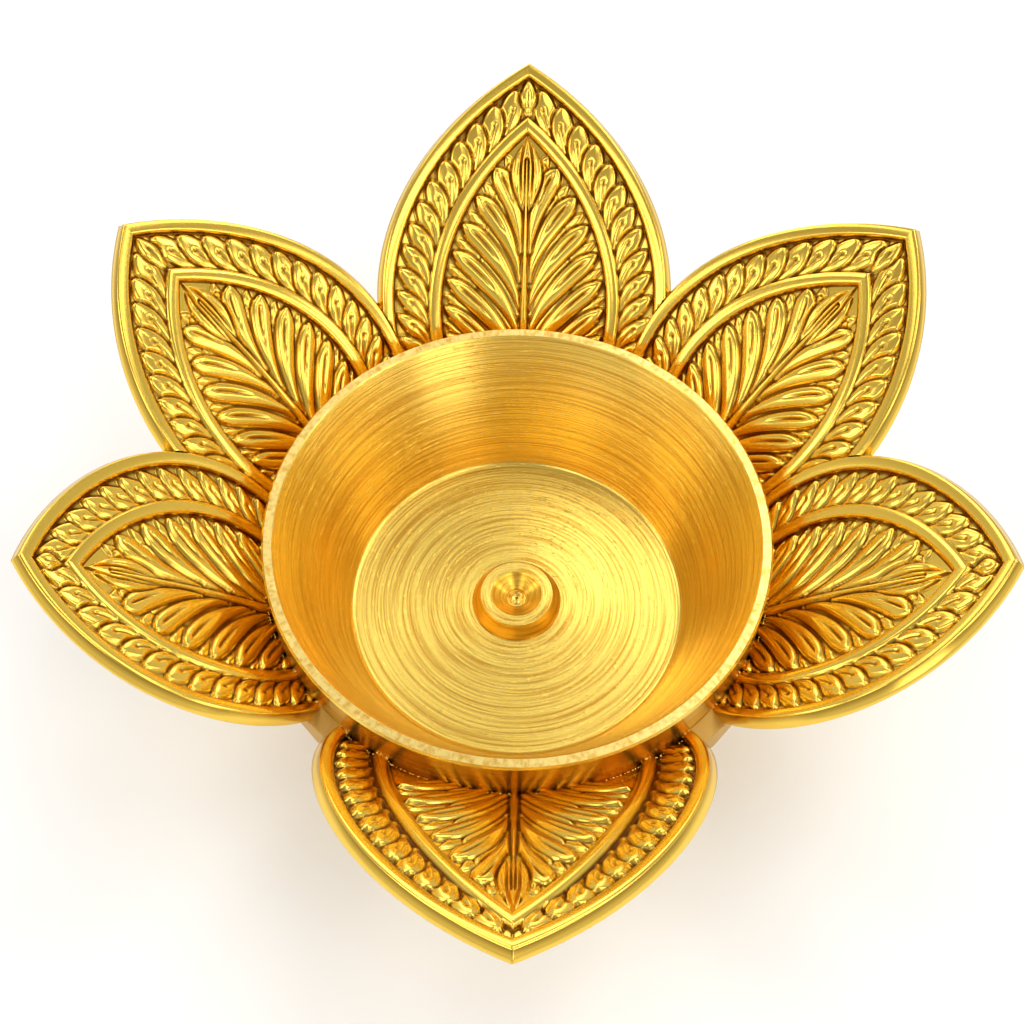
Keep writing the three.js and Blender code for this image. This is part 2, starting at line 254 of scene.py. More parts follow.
@dataclass(frozen=True)
class Leaf:
    """One carved leaf on a curved spine of three points, from its tail to its head.

    Places on the spine are shares of its length. All leaves share the shape of their edges: the
    side rises over a short ramp, and the top is domed from a share of the height at the edge.
    """

    tail: Spot = (0.0, 0.0)
    bend: Spot = (0.0, 0.0)
    head: Spot = (0.0, 0.0)
    width: float = 1.0
    stem: float = 0.4
    bulge: float = 0.66
    roundness: float = 2.0
    swell: float = 1.4
    height: float = 0.68
    tail_height: float = 0.45
    edge_radius: float = 0.9
    edge_ramp: Spot = (-0.04, 0.24)
    edge_height: float = 0.45
    crown: float = 1.5
    lowest: float = 0.02
    slit: float = 0.3
    slit_from: float = 0.3
    slit_to: float = 0.75
    slit_width: float = 0.17
    slit_opening: float = 0.15
    slit_closing: Spot = (-0.08, 0.04)
    lean: float = 0.0
    pit: float = 0.0
    pit_radius: float = 0.3
    groove: float = 0.3
    spine_steps: int = 24

    @property
    def length(self) -> float:
        """Length of the spine, by its two legs."""
        return math.dist(self.tail, self.bend) + math.dist(self.bend, self.head)

    def half_width(self, share: Array) -> Array:
        """Width of the leaf along its spine.

        Args:
            share: Shares of the spine's length from the tail.

        Returns:
            Half the width at each of them.
        """
        low = np.clip(share / self.bulge, 0, 1)
        high = np.clip((share - self.bulge) / (1 - self.bulge), 0, 1)
        rising = blend(self.stem / 2, self.width / 2, np.sin(low * math.pi / 2) ** self.swell)
        closing = self.width / 2 * (1 - high**self.roundness) ** (1 / self.roundness)
        return np.where(share < self.bulge, rising, closing)

    def measure(self, along: Array, across: Array) -> tuple[Array, Array]:
        """Finds where points lie on the leaf.

        Args:
            along: Distances along the petal.
            across: Distances across the petal.

        Returns:
            The share of the spine's length nearest to each point, and the signed distance from it.
        """
        steps = self.spine_steps
        t = np.linspace(0, 1, steps + 1)[:, None]
        tail, bend, head = np.array(self.tail), np.array(self.bend), np.array(self.head)
        spine = (1 - t) ** 2 * tail + 2 * t * (1 - t) * bend + t**2 * head
        points = np.stack([along, across], axis=-1)
        best = np.full(along.shape, np.inf)
        share = np.zeros(along.shape)
        signed = np.zeros(along.shape)
        for i in range(steps):
            step = spine[i + 1] - spine[i]
            away = points - spine[i]
            local = np.clip(away @ step / (step @ step), 0, 1)
            rest = away - local[..., None] * step
            distance = np.hypot(rest[..., 0], rest[..., 1])
            side = np.sign(step[0] * away[..., 1] - step[1] * away[..., 0])
            nearer = distance < best
            best = np.where(nearer, distance, best)
            share = np.where(nearer, (i + local) / steps, share)
            signed = np.where(nearer, distance * side, signed)
        return share, signed

    def body(self, share: Array, signed: Array) -> Array:
        """Height of the leaf with its slit and its pit.

        Args:
            share: Shares of the spine's length from the tail.
            signed: Signed distances from the spine.

        Returns:
            Heights above the relief's floor.
        """
        half = self.half_width(share)
        inside = half - np.abs(signed)
        round_over = 1 - np.clip(inside / self.edge_radius, 0, 1)
        dome = (1 - round_over**self.crown) ** (1 / self.crown)
        rise = blend(self.tail_height, 1, smooth_step(0, self.bulge, share))
        body = self.height * rise * smooth_step(*self.edge_ramp, inside)
        body = body * blend(self.edge_height, 1, dome)
        off = signed - self.lean * half
        opening, closing = self.slit_opening, self.slit_closing
        window = smooth_step(self.slit_from - opening, self.slit_from + opening, share)
        shut = smooth_step(self.slit_to + closing[0], self.slit_to + closing[1], share)
        body -= self.slit * window * (1 - shut) * np.exp(-((off / self.slit_width) ** 2))
        from_pit = np.hypot((share - self.slit_to) * self.length, off)
        body -= self.pit * np.exp(-((from_pit / self.pit_radius) ** 2))
        return body

    def carve(self, along: Array, across: Array, relief: Array) -> None:
        """Lays the leaf over a relief, with a fine groove round it.

        Args:
            along: Distances along the petal, one for each point.
            across: Distances across the petal.
            relief: Heights above the relief's floor, changed in place.
        """
        ends = np.array([self.tail, self.bend, self.head])
        margin = self.width / 2 + self.groove * 2
        low, high = ends.min(axis=0) - margin, ends.max(axis=0) + margin
        near = (along > low[0]) & (along < high[0]) & (across > low[1]) & (across < high[1])
        if not near.any():
            return
        share, signed = self.measure(along[near], across[near])
        inside = self.half_width(share) - np.abs(signed)
        body = np.maximum(self.body(share, signed), self.lowest)
        under = relief[near] * smooth_step(0, self.groove, -inside)
        relief[near] = np.where(inside > 0, body, under)


@dataclass(frozen=True)
class Cut:
    """How the leaves of a chain are cut.

    Each point of the spine says how many steps of the chain it lies behind its leaf's place,
    near the petal's root and near its tip, and its share of the channel's width from the band.
    The widths are also those near the root and near the tip.
    """

    spine: tuple[tuple[float, float, float], ...]
    widths: Spot
    lean: float
    leaf: Leaf


class Chain(Enum):
    """The leaves of the channel: teardrops with a pit, commas that hook to the rim, or ovals."""

    LAUREL = Cut(
        spine=((1.15, 1.5, 0.03), (0.0, 0.45, 0.1), (0.0, 0.0, 0.93)),
        widths=(2.8, 3.1),
        lean=-0.12,
        leaf=Leaf(edge_radius=1.4, slit_to=0.72, pit=0.25),
    )
    HOOKED = Cut(
        spine=((1.05, 1.35, 0.0), (-0.1, -0.1, 0.12), (-0.12, -0.12, 0.98)),
        widths=(2.95, 2.95),
        lean=-0.1,
        leaf=Leaf(edge_radius=1.3, bulge=0.6, roundness=1.7, slit_to=0.68, pit=0.2),
    )
    OVAL = Cut(
        spine=((1.3, 1.3, 0.16), (0.65, 0.65, 0.42), (-0.06, -0.06, 0.86)),
        widths=(2.9, 2.9),
        lean=0.0,
        leaf=Leaf(
            edge_radius=1.3,
            stem=1.5,
            bulge=0.55,
            roundness=2.6,
            slit=0.25,
            slit_from=0.35,
            slit_to=0.72,
        ),
    )


class Lobe(NamedTuple):
    """One lobe of a spray leaf.

    Its end lies a number of steps behind the leaf's tip, at a share of the field's half width.
    """

    back: float
    reach: float
    width: float
    height: float
    slit: float


# A filler between two long lobes, a lobe close to the vein, and the long lobe over both.
LOBES = (
    Lobe(-0.45, 0.97, 1.7, 0.46, 0.16),
    Lobe(-0.12, 0.6, 2.0, 0.62, 0.3),
    Lobe(0.0, 0.96, 2.9, 0.76, 0.42),
)
LOBE_CUT = Leaf(
    bulge=0.8,
    roundness=1.75,
    swell=1.7,
    tail_height=0.85,
    edge_radius=1.3,
    slit_from=0.6,
    slit_to=0.9,
)
TIP_CUT = Leaf(width=2.4, bulge=0.5, roundness=1.5, slit_from=0.25, slit_to=0.7)
CREST_SIDE_CUT = Leaf(bulge=0.5, roundness=1.6, slit=0.2)
CREST_CUT = Leaf(stem=1.0, bulge=0.55, roundness=1.3, slit=0.0, height=0.74)
# The vein runs from the crest to behind the cup's wall, as one long leaf with an endless slit.
VEIN_CUT = Leaf(
    bend=(5, 0),
    head=(-12, 0),
    width=1.2,
    stem=0.35,
    bulge=0.8,
    height=0.78,
    tail_height=1,
    edge_radius=0.35,
    slit=0.16,
    slit_from=0.2,
    slit_to=2,
    slit_width=0.14,
)


@dataclass(frozen=True)
class PetalKind:
    """Sizes and carving of one kind of petal."""

    length: float
    half_width: float
    widest_at: float
    channel: float
    band_margin: float
    band_shift: float = 0.0
    chain: Chain = Chain.LAUREL
    chain_pitch: float = 3.3
    chain_start: float = 0.6
    tip_leaf: bool = True
    spray_pitch: float = 3.9
    spray_rise: float = 11.0
    crest_length: float = 9.8
    crest_width: float = 3.8
    crest_gap: float = 0.15


class Column(NamedTuple):
    """One column of a petal's mesh, along an arch or a share of the way to a second one.

    Columns of the face have no height of their own.
    """

    arch: Ogive
    height: Optional[float] = None
    share: float = 1.0
    other: Optional[Ogive] = None


@dataclass
class Petal:
    """A cast petal with a raised rim, a chain of leaves, a band, and a spray of leaves."""

    node: str
    kind: PetalKind
    azimuth: float
    covers: tuple["Petal", ...] = ()
    lean: float = 0.0
    flare: Flare = field(default_factory=Flare)
    thickness: float = 1.7
    draft: float = 0.4
    under_inset: float = 0.3
    under_shares: tuple[float, ...] = (0.25, 0.5, 0.75, 1.0)
    edge_steps: tuple[Spot, ...] = ((0.1, 0.06), (0.02, 0.22))
    edge_middle: float = 0.45
    rim: float = 1.45
    band: float = 1.6
    relief_depth: float = 0.8
    leaves_below: float = -0.3
    near_tip: Spot = (0.35, 0.8)
    channel_start: float = -9.0
    channel_gaps: Spot = (0.1, -0.15)
    tip_leaf_gaps: Spot = (0.1, 0.35)
    spray_top: float = 0.46
    spray_root: float = -2.0
    lobe_rise: float = 0.7
    lobe_bend: Spot = (0.38, 0.3)
    lobe_stem: float = 0.3
    lobe_lean: float = -0.12
    vein_gap: float = 0.45
    vein_start: float = 0.35
    crest_bend: Spot = (0.5, 0.62)
    crest_end: float = 0.1
    crest_asides: Spot = (0.35, 0.1)
    crest_widths: Spot = (0.44, 0.42)
    hidden_radius: float = 30.6
    rows: int = 300
    channel_mesh: float = 0.15
    field_mesh: float = 0.16
    patina_and_shade_rounds: int = 7
    patina_and_shade_depth: float = 0.13

    def __post_init__(self) -> None:
        """Works out the arches that the petal is drawn with."""
        kind = self.kind
        self.outline = Ogive.through(kind.length, kind.half_width, kind.widest_at)
        self.band_arch = Ogive.through(
            kind.length - kind.band_margin,
            kind.half_width - self.rim - kind.channel,
            kind.widest_at - kind.band_shift,
        )
        self.pool = self.outline.offset(-self.rim)
        self.field_arch = self.band_arch.offset(-self.band)

    @property
    def rim_steps(self) -> tuple[Spot, ...]:
        """The rim's profile.

        Returns:
            Distances in from the outline, and heights.
        """
        floor = -self.relief_depth
        return (
            (-0.06, -0.28),
            (-0.01, -0.15),
            (0.08, -0.05),
            (0.2, 0.0),
            (0.55, 0.0),
            (self.rim - 0.36, -0.03),
            (self.rim - 0.2, -0.07),
            (self.rim - 0.08, -0.17),
            (self.rim + 0.06, floor * 0.75),
            (self.rim + 0.2, floor),
        )

    @property
    def band_steps(self) -> tuple[Spot, ...]:
        """The band's profile.

        Returns:
            Distances in from its outer edge, and heights.
        """
        floor = -self.relief_depth
        half = ((-0.2, floor), (-0.06, floor * 0.75), (0.06, -0.22), (0.18, -0.09), (0.36, -0.02))
        middle = ((self.band / 2, 0.0),)
        return half + middle + tuple((self.band - d, h) for d, h in reversed(half))

    def face_height(self, along: Array, across: Array) -> Array:
        """Height of the rim, the band and the floor, without the leaves.

        Args:
            along: Distances along the petal.
            across: Distances across it.

        Returns:
            Heights above the petal's face.
        """
        rim = np.interp(self.outline.depth(along, across), *zip(*self.rim_steps))
        band = np.interp(self.band_arch.depth(along, across), *zip(*self.band_steps))
        return np.maximum(rim, band)

    def channel_spot(self, share: float, aside: float, side: int) -> Spot:
        """A point of the channel.

        Args:
            share: Share of the channel's length from the cup wall.
            aside: Share of its width from the band.
            side: 1 or -1, the side of the petal.

        Returns:
            Its distance along and across the petal.
        """
        spots = []
        for arch, gap in zip((self.band_arch, self.pool), self.channel_gaps):
            edge = arch.offset(gap)
            spots.append(edge.at(blend(edge.angle_at(self.channel_start), edge.tip_angle, share)))
        along, across = [float(blend(near, far, aside)) for near, far in zip(*spots)]
        return along, across * side

    def chain_leaf(self, share: float, step: float, side: int) -> Leaf:
        """One leaf of the channel.

        Args:
            share: Its place, as a share of the channel's length.
            step: Share of the channel's length between two leaves.
            side: 1 or -1, the side of the petal.

        Returns:
            The leaf.
        """
        near_tip = float(smooth_step(*self.near_tip, share))
        cut = self.kind.chain.value
        tail, bend, head = [
            self.channel_spot(share - step * blend(root, tip, near_tip), aside, side)
            for root, tip, aside in cut.spine
        ]
        width, lean = blend(*cut.widths, near_tip), cut.lean * side
        return replace(cut.leaf, tail=tail, bend=bend, head=head, width=width, lean=lean)

    def chain_leaves(self) -> list[Leaf]:
        """The leaves of the channel.

        Returns:
            The leaves, from the tip to the root, and last the one in the tip's corner.
        """
        kind = self.kind
        edges = (self.band_arch, self.pool)
        lengths = [
            edge.radius * (edge.tip_angle - edge.angle_at(self.channel_start)) for edge in edges
        ]
        count = round(sum(lengths) / 2 / kind.chain_pitch)
        leaves = []
        for i in range(count):
            share = 1 - (i + kind.chain_start) / count
            leaves += [self.chain_leaf(share, 1 / count, side) for side in (-1, 1)]
        if kind.tip_leaf:
            low, high = self.band_arch.tip, self.pool.tip
            tail, head = (low + self.tip_leaf_gaps[0], 0), (high - self.tip_leaf_gaps[1], 0)
            leaves.append(replace(TIP_CUT, tail=tail, bend=((low + high) / 2, 0), head=head))
        return leaves

    def spray_leaves(self) -> list[Leaf]:
        """The leaves inside the band.

        Returns:
            The leaves, from the root to the tip, with the crest of three and the vein last.
        """
        kind = self.kind
        length, width = kind.crest_length, kind.crest_width
        tip = self.field_arch.tip - kind.crest_gap
        root = tip - length
        highest = tip - length * self.spray_top
        pairs = math.ceil((highest - self.spray_root) / kind.spray_pitch)
        leaves = []
        for i in reversed(range(pairs)):
            for side in (-1, 1):
                leaves += self.spray_leaf(highest - i * kind.spray_pitch, side)
        for side in (-1, 1):
            leaves.append(
                replace(
                    CREST_SIDE_CUT,
                    tail=(root, self.crest_asides[0] * side),
                    bend=(root + length * self.crest_bend[0], width * self.crest_bend[1] * side),
                    head=(tip - length * self.crest_end, self.crest_asides[1] * side),
                    width=width * self.crest_widths[0],
                )
            )
        width, middle = width * self.crest_widths[1], ((root + tip) / 2, 0)
        leaves.append(replace(CREST_CUT, tail=(root, 0), bend=middle, head=(tip, 0), width=width))
        leaves.append(replace(VEIN_CUT, tail=(tip - length * self.vein_start, 0)))
        return leaves

    def spray_leaf(self, tip: float, side: int) -> list[Leaf]:
        """One leaf of the spray, with a long lobe, and shorter ones beside it that fill the field.

        Args:
            tip: Where its long lobe ends, along the petal.
            side: 1 or -1, the side of the vein.

        Returns:
            Its lobes, the lowest one first.
        """
        leaves = []
        for lobe in LOBES:
            end = tip - lobe.back * self.kind.spray_pitch
            rise = self.kind.spray_rise * blend(self.lobe_rise, 1.0, lobe.reach)
            wide = float(self.field_arch.width_at(end)) * lobe.reach
            leaves.append(
                replace(
                    LOBE_CUT,
                    tail=(end - rise, self.vein_gap * side),
                    bend=(end - rise * self.lobe_bend[0], wide * self.lobe_bend[1] * side),
                    head=(end, wide * side),
                    width=lobe.width,
                    stem=lobe.width * self.lobe_stem,
                    height=lobe.height,
                    slit=lobe.slit,
                    lean=self.lobe_lean * side,
                )
            )
        return leaves

    def columns(self) -> list[Column]:
        """The mesh's columns over one half of the petal.

        Returns:
            The columns, from the middle of the underside round the edge to the face's field.
        """
        bottom, draft, middle = -self.thickness, self.draft, self.edge_middle
        under = self.outline.offset(draft - self.under_inset)
        lines = [Column(under, bottom, share) for share in self.under_shares]
        edge = steps_at(draft, bottom, self.edge_steps)
        for out, height in (*edge, (draft * middle, bottom * (1 - middle))):
            lines.append(Column(self.outline.offset(out), height))
        lines += [Column(self.outline.offset(-distance)) for distance, _ in self.rim_steps]
        outer = self.outline.offset(-self.rim_steps[-1][0])
        inner = self.band_arch.offset(-self.band_steps[0][0])
        gaps = round(self.kind.channel / self.channel_mesh)
        lines += [Column(outer, None, i / gaps, inner) for i in range(1, gaps)]
        lines += [Column(self.band_arch.offset(-distance)) for distance, _ in self.band_steps]
        return lines

    def pattern(self) -> tuple[Array, Array, Array]:
        """Points of the whole mesh in the flat pattern, row by row.

        Returns:
            Distances along and across, and heights, each with one row for each step from the root
            to the tip. Heights on the face are not set.
        """
        share = np.linspace(0, 1, self.rows)

        def line(arch: Ogive) -> tuple[Array, Array]:
            """An arch from the cup wall to its tip."""
            start = arch.start_angle(self.flare, self.hidden_radius)
            return arch.at(blend(start, arch.tip_angle, share))

        half = []
        for column in self.columns():
            along, across = line(column.arch)
            if column.other is None:
                across = across * column.share
            else:
                far_along, far_across = line(column.other)
                along = blend(along, far_along, column.share)
                across = blend(across, far_across, column.share)
            height = np.nan if column.height is None else column.height
            half.append((along, across, np.full(self.rows, height)))
        along, across, height = half[-1]
        steps = round(float(across.max()) * 2 / self.field_mesh)
        middle = [(along, blend(across, -across, i / steps), height) for i in range(1, steps)]
        mirrored = [(along, -across, height) for along, across, height in reversed(half)]
        keel = (half[0][0], half[0][1] * 0, half[0][2])
        loop = half + middle + mirrored + [keel, half[0]]
        along, across, height = [np.stack(part, axis=1) for part in zip(*loop)]
        return along, across, height

    def tuck(self, along: Array, across: Array) -> tuple[Array, Array]:
        """Draws in what the petals lapping over this one would hide.

        Args:
            along: Distances along this petal.
            across: Distances across it.

        Returns:
            The same points, with the hidden ones moved to the edge of the petal that covers them.
        """
        flare = self.flare
        margin, nearest = 0.08, 10
        for cover in self.covers:
            reach = flare.reach(along)
            radius = np.hypot(reach, across)
            turn = np.arctan2(across, reach) + self.turn(radius) - cover.turn(radius)
            there, aside = radius * np.cos(turn), radius * np.sin(turn)
            far = flare.along(there)
            edge = cover.outline.offset(margin)
            hidden = (edge.depth(far, aside) > 0) & (there > nearest)
            away = np.hypot(far - edge.widest_at, np.abs(aside) + edge.inset)
            scale = edge.radius / np.maximum(away, 1e-6)
            far = edge.widest_at + (far - edge.widest_at) * scale
            aside = np.sign(aside) * ((np.abs(aside) + edge.inset) * scale - edge.inset)
            there = flare.reach(far)
            radius = np.hypot(there, aside)
            turn = np.arctan2(aside, there) + cover.turn(radius) - self.turn(radius)
            across = np.where(hidden, radius * np.sin(turn), across)
            along = np.where(hidden, flare.along(radius * np.cos(turn)), along)
        return along, across

    def turn(self, radius: Array) -> Array:
        """How far the petal is turned about the cup's axis at a distance from it."""
        share = np.maximum(radius - self.flare.cup_radius, 0) / self.kind.length
        return np.radians(self.azimuth + self.lean * share**2)

    def place(self, along: Array, across: Array, up: Array) -> Array:
        """Places points of the flat pattern on the lamp.

        Args:
            along: Distances along the petal.
            across: Distances across it.
            up: Heights above its face.

        Returns:
            The points in millimetres.
        """
        points = self.flare.place(along, across, up)
        angle = self.turn(np.hypot(self.flare.reach(along), across))
        cos, sin = np.cos(angle), np.sin(angle)
        x, y, z = points[..., 0], points[..., 1], points[..., 2]
        turned = [x * cos - y * sin, x * sin + y * cos + AXIS_Y, z + RIM_HEIGHT]
        return np.stack(turned, axis=-1)

    def build(self) -> Object:
        """Makes the petal's mesh.

        Returns:
            The petal, in place, with the brown patina and painted shade that gather in its
            grooves.
        """
        along, across, height = self.pattern()
        along, across = self.tuck(along, across)
        on_face = np.isnan(height)
        relief = np.zeros(along.shape)
        for leaf in self.chain_leaves() + self.spray_leaves():
            leaf.carve(along, across, relief)
        leaves = soften(relief) - self.relief_depth
        face = self.face_height(along, across)
        carved = np.maximum(face, np.where(face < self.leaves_below, leaves, face))
        height = np.where(on_face, carved, height)
        # The mask is 1 where the carving lies below its evened-out surface: brown patina, and
        # painted shade, in the grooves and round the leaves.
        even = carved
        for _ in range(self.patina_and_shade_rounds):
            even = soften(even)
        patina_and_shade = np.where(on_face, np.clip((even - carved) / self.patina_and_shade_depth, 0, 1), 0)
        petal = wrapped_grid(self.node + "_carved", self.place(along, across, height), patina_and_shade)
        log.info("%s: %d faces", self.node, len(petal.data.polygons))
        return petal


def soften(heights: Array) -> Array:
    """Evens out a grid of heights with its neighbours, as casting does to a carved pattern.

    Args:
        heights: The grid.

    Returns:
        The evened grid.
    """
    for axis in (0, 1):
        before, after = np.roll(heights, 1, axis), np.roll(heights, -1, axis)
        heights = heights * 0.5 + (before + after) * 0.25
    return heights


# Meshes


def new_object(name: str, bm: bmesh.types.BMesh, smooth: bool = True) -> Object:
    """Turns a bmesh to an object of the scene.

    Args:
        name: Name of the piece.
        bm: The mesh, which is freed.
        smooth: True for smooth shading.

    Returns:
        The object.
    """
    mesh = bpy.data.meshes.new(name)
    bm.to_mesh(mesh)
    bm.free()
    if smooth:
        mesh.polygons.foreach_set("use_smooth", [True] * len(mesh.polygons))
    thing = bpy.data.objects.new(name, mesh)
    bpy.context.scene.collection.objects.link(thing)
    return thing


def wrapped_grid(name: str, points: Array, patina_and_shade: Array) -> Object:
    """A closed piece from a grid whose rows are closed loops.

    Args:
        name: Name of the piece.
        points: Grid of points in millimetres, rows first.
        patina_and_shade: Patina and painted shade, a value for each point, kept as the attribute
            "patina".

    Returns:
        The object, with its seams merged and its ends closed.
    """
    rows, columns = patina_and_shade.shape
    bm = bmesh.new()
    bmesh.ops.create_grid(bm, x_segments=columns - 1, y_segments=rows - 1, size=1)
    mesh = bpy.data.meshes.new(name)
    bm.to_mesh(mesh)
    flat = np.zeros(len(mesh.vertices) * 3, np.float32)
    mesh.vertices.foreach_get("co", flat)
    flat = flat.reshape(-1, 3)
    column = np.rint((flat[:, 0] + 1) / 2 * (columns - 1)).astype(int)
    row = np.rint((flat[:, 1] + 1) / 2 * (rows - 1)).astype(int)
    mesh.vertices.foreach_set("co", (points[row, column] * MM).astype(np.float32).ravel())
    attribute = mesh.attributes.new("patina_and_shade", "FLOAT", "POINT")
    attribute.data.foreach_set("value", patina_and_shade[row, column].astype(np.float32))
    bm.clear()
    bm.from_mesh(mesh)
    bpy.data.meshes.remove(mesh)
    bmesh.ops.remove_doubles(bm, verts=bm.verts, dist=MERGE)
    bmesh.ops.dissolve_degenerate(bm, dist=MERGE, edges=bm.edges)
    bmesh.ops.holes_fill(bm, edges=[e for e in bm.edges if e.is_boundary], sides=0)
    bmesh.ops.recalc_face_normals(bm, faces=bm.faces)
    return new_object(name, bm)


def turned_piece(name: str, section: Sequence[Spot], steps: int = 240) -> Object:
    """A turned piece from its half section.

    Args:
        name: Name of the piece.
        section: Radii and heights in millimetres above the ground, as a loop or from axis to axis.
        steps: Steps of the full turn.

    Returns:
        The object.
    """
    bm = bmesh.new()
    verts = [bm.verts.new((radius * MM, AXIS_Y * MM, height * MM)) for radius, height in section]
    ends = verts[1:] + verts[:1] if section[0][0] > 0 else verts[1:]
    edges = [bm.edges.new(pair) for pair in zip(verts, ends)]
    bmesh.ops.spin(
        bm,
        geom=verts + edges,
        cent=(0, AXIS_Y * MM, 0),
        axis=(0, 0, 1),
        angle=2 * math.pi,
        steps=steps,
        use_merge=True,
    )
    bmesh.ops.remove_doubles(bm, verts=bm.verts, dist=MERGE)
    bmesh.ops.recalc_face_normals(bm, faces=bm.faces)
    thing = new_object(name, bm)
    sharpen(thing)
    return thing


def sharpen(thing: Object, degrees: float = 28) -> None:
    """Keeps the edges of a piece crisp.

    Args:
        thing: The piece.
        degrees: Edges where its faces meet at more than this angle stay sharp.
    """
    bm = bmesh.new()
    bm.from_mesh(thing.data)
    limit = math.radians(degrees)
    for edge in bm.edges:
        edge.smooth = not (edge.is_manifold and edge.calc_face_angle(0) > limit)
    bm.to_mesh(thing.data)
    bm.free()


# Finishes


def add_node(tree: NodeTree, kind: str, links: Optional[dict] = None, **settings: object) -> Node:
    """Adds a node with its settings and links.

    Args:
        tree: Node tree of the material or world.
        kind: Type of the node, without its first words "ShaderNode".
        links: Input names or numbers, each with a value, an output socket, or a node of which
            the first output is meant.
        settings: Attributes of the node.

    Returns:
        The node.
    """
    node = tree.nodes.new("ShaderNode" + kind)
    for key, value in settings.items():
        setattr(node, key, value)
    for key, value in (links or {}).items():
        if isinstance(value, Node):
            value = value.outputs[0]
        if isinstance(value, NodeSocket):
            tree.links.new(value, node.inputs[key])
        else:
            node.inputs[key].default_value = value
    return node


class Tooling(Enum):
    """Marks that the last tool left on a surface."""

    CAST = "cast, and buffed by hand"
    TURNED = "turned on a lathe"


@dataclass(frozen=True)
class Brass:
    """Polished yellow brass, about two thirds copper and one third zinc.

    Its warm gold deepens to brown where the metal mirrors itself, in the recesses and the cup, and
    a casting's recesses also get brown patina and painted shade.
    A real lathe tool leaves lines a tenth of a millimetre apart; they are drawn two to seven
    times as coarse, so that they show. Pitches, widths and depths are millimetres, a run says
    how often a mark changes round the turn, and the spans are parts of the noise.
    """

    name: str
    tooling: Tooling
    colour: str = "F5CB54"
    # Brown of a casting's patina and painted shade; on turned brass, the tone of the tool's lines.
    deep_colour: str = "6C3F0A"
    roughness: float = 0.2
    anisotropy: float = 0.0
    mark_pitch: float = 0.35
    mark_run: float = 0.9
    mark_depth: float = 0.004
    mark_slant: float = 0.7
    tone_span: Spot = (0.32, 0.56)
    tear_width: float = 0.22
    tear_run: float = 13.0
    tear_depth: float = 0.8
    tear_span: Spot = (0.6, 0.74)

    def make(self) -> Material:
        """Builds the finish as a material.

        Returns:
            The material.
        """
        material = bpy.data.materials.new(self.name)
        material.use_nodes = True
        tree = material.node_tree
        tree.nodes.clear()
        place = add_node(tree, "TexCoord").outputs["Object"]
        spot = add_node(
            tree,
            "Mapping",
            {"Vector": place, "Location": (0, -AXIS_Y, 0), "Scale": (1 / MM, 1 / MM, 1 / MM)},
        )
        marks = self.turn_marks if self.tooling is Tooling.TURNED else self.hand_marks
        metal = {"Metallic": 1.0, "Roughness": self.roughness}
        shader = add_node(tree, "BsdfPrincipled", metal | marks(tree, spot))
        add_node(tree, "OutputMaterial", {"Surface": shader})
        return material

    def surface(
        self, tree: NodeTree, share: object, colours: tuple[str, str], height: Node
    ) -> dict[str, object]:
        """Colours a surface and gives it its unevenness.

        Args:
            tree: Node tree of the material.
            share: Node or socket with the share of the second colour.
            colours: Two sRGB hex colours.
            height: Node with the height of the marks.

        Returns:
            Inputs of the material's shader.
        """
        first, second = (linear(colour) for colour in colours)
        tone = add_node(tree, "Mix", {"Factor": share, "A": first, "B": second}, data_type="RGBA")
        bump = add_node(tree, "Bump", {"Height": height, "Distance": self.mark_depth * MM})
        return {"Base Color": tone.outputs["Result"], "Normal": bump}

    def turn_marks(self, tree: NodeTree, spot: Node) -> dict[str, object]:
        """Circular lines of a lathe tool, torn here and there, which fan the highlights out.

        Args:
            tree: Node tree of the material.
            spot: Node with the place in millimetres from the lamp's axis.

        Returns:
            Inputs of the material's shader.
        """
        parts = add_node(tree, "SeparateXYZ", {"Vector": spot}).outputs
        flat = add_node(tree, "CombineXYZ", {"X": parts["X"], "Y": parts["Y"]})
        radius = add_node(tree, "VectorMath", {0: flat}, operation="LENGTH").outputs["Value"]
        heading = add_node(tree, "VectorMath", {0: flat}, operation="NORMALIZE")
        path = add_node(
            tree, "Math", {0: radius, 1: self.mark_slant, 2: parts["Z"]}, operation="MULTIPLY_ADD"
        )
        level = add_node(tree, "CombineXYZ", {"Z": path})
        wrapped = add_node(tree, "VectorMath", {0: heading, 1: level}, operation="ADD")
        grooves = self.noise(tree, wrapped, self.mark_run, self.mark_pitch, detail=3.0)
        tears = self.noise(tree, wrapped, self.tear_run, self.tear_width, detail=2.0)
        low, high = self.tear_span
        torn = add_node(
            tree,
            "MapRange",
            {"Value": tears, "From Min": low, "From Max": high},
            interpolation_type="SMOOTHSTEP",
        )
        height = add_node(
            tree, "Math", {0: torn, 1: self.tear_depth, 2: grooves}, operation="MULTIPLY_ADD"
        )
        low, high = self.tone_span
        share = add_node(tree, "MapRange", {"Value": grooves, "From Min": low, "From Max": high})
        # Turned a quarter, the tangent lays the stretched highlights across the lines.
        tangent = add_node(tree, "Tangent", direction_type="RADIAL", axis="Z")
        return {
            "Anisotropic": self.anisotropy,
            "Anisotropic Rotation": 0.25,
            "Tangent": tangent,
            **self.surface(tree, share, (self.deep_colour, self.colour), height),
        }

    def noise(
        self, tree: NodeTree, wrapped: Node, run: float, pitch: float, detail: float
    ) -> Node:
        """Noise drawn out along the turning direction.

        Args:
            tree: Node tree of the material.
            wrapped: Node with the heading from the axis in X and Y and the tool's path in Z.
            run: How fast the noise changes along the heading.
            pitch: Millimetres of the path from one line to the next.
            detail: Octaves of the noise.

        Returns:
            Node with the noise, from 0 to 1.
        """
        scale = (run, run, 1 / pitch)
        stretch = add_node(tree, "Mapping", {"Vector": wrapped, "Scale": scale})
        return add_node(
            tree,
            "TexNoise",
            {"Vector": stretch, "Scale": 1.0, "Detail": detail, "Roughness": 0.6},
        )

